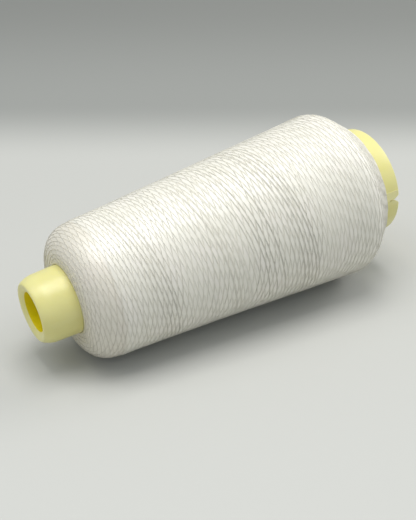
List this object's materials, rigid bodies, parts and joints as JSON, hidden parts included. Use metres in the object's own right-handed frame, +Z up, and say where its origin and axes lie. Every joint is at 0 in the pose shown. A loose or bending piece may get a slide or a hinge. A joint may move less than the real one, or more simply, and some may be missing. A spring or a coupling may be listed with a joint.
{
  "type": "cone of thread",
  "caption": "Sewing thread wound on a hollow tapered plastic tube, lying on its side: warm white wind with rounded shoulders, pale yellow tube showing at both ends.",
  "frame": {"origin": "centre of the bounding box on the surface that the cone lies on", "axes": "+X from the narrow nose to the wide base along the ground under the cone's axis, which rises 4.27 degrees towards the base; +Z up"},
  "size_m": [0.1468, 0.0644, 0.0641],
  "materials": {
    "tube_plastic": "pale yellow moulded polypropylene, soft satin, a deeper yellow inside the bore",
    "thread": "warm white spun polyester sewing thread in fine close turns, matt with a faint soft sheen"
  },
  "bodies": {
    "root": {"tube": "tube_plastic", "thread_wind": "thread"}
  },
  "joints": []
}
